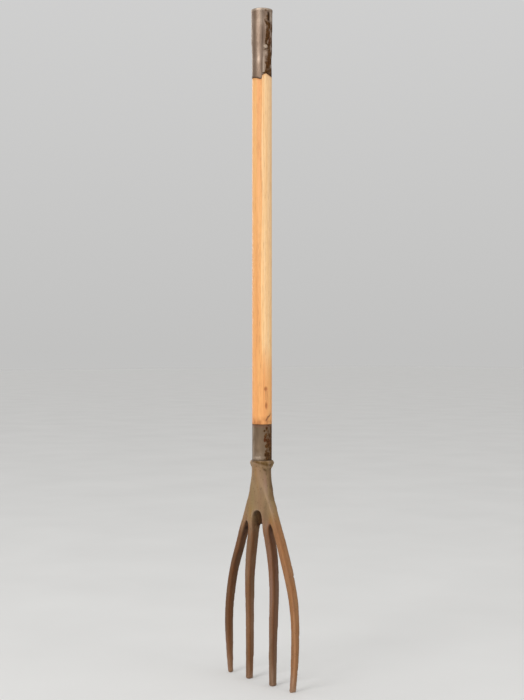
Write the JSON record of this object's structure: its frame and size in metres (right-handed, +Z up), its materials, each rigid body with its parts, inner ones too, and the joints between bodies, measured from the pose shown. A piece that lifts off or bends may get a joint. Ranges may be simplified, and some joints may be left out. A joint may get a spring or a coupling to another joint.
{
  "type": "digging fork",
  "caption": "Forged digging fork head with square bowed tines, on a straight round wooden shaft with a tube ferrule below and a rolled steel sleeve on top.",
  "frame": {"origin": "on the shaft's axis, at the level of the tine tips", "axes": "+Z up the shaft, X across the tines, -Y out of the head's front face"},
  "size_m": [0.188, 0.0416, 1.141],
  "materials": {
    "ash_wood": "turned ash, bare and oiled, grain along the shaft, knots and dirt near the ferrule",
    "forged_steel": "hand-forged, brown oxide patina, rust streaks, worn brighter on the corners and tips",
    "ferrule_steel": "thin drawn and rolled steel, dull grey brown, one side rusted",
    "rivet_steel": "peened by hand, dull"
  },
  "bodies": {
    "root": {"fork_head": "forged_steel", "lower_ferrule": "ferrule_steel", "shaft": "ash_wood", "sleeve_rivet": "rivet_steel", "tang_pin": "rivet_steel", "upper_sleeve": "ferrule_steel"}
  },
  "joints": []
}
